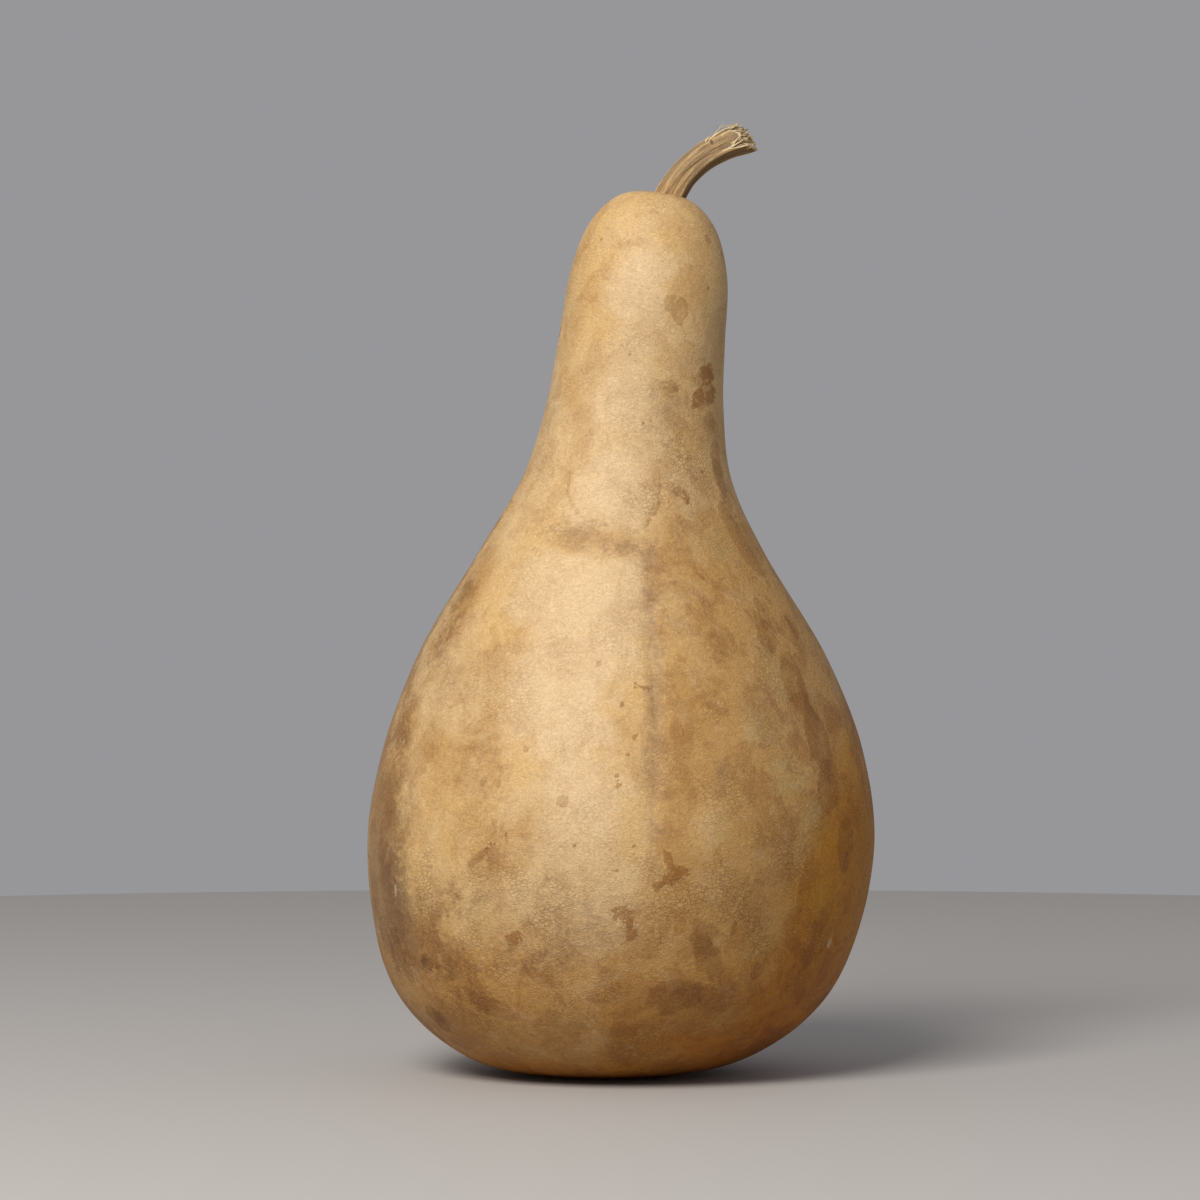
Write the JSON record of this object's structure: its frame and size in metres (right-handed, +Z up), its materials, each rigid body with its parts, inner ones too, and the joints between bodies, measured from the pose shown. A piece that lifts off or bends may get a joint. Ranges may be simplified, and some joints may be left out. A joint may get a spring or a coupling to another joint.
{
  "type": "dried bottle gourd",
  "caption": "Pear-shaped dried bottle gourd with a broad belly, a slim leaning neck and the torn stub of its stalk, standing on a small flat.",
  "frame": {"origin": "on the surface that the gourd stands on, under the middle of the belly", "axes": "+Z up, from the blossom end to the neck; +X is the side that the neck and the stalk lean to; -Y is the front"},
  "size_m": [0.1646, 0.1619, 0.31],
  "materials": {
    "gourd_skin": "matte dry skin, tan to warm brown, with soft mottling, water stains and small dark scabs",
    "stem_bark": "rough dry stalk, grey-tan, ribbed lengthwise, with pale straw fibres at the torn end"
  },
  "bodies": {
    "root": {"gourd": "gourd_skin", "stem": "stem_bark"}
  },
  "joints": []
}
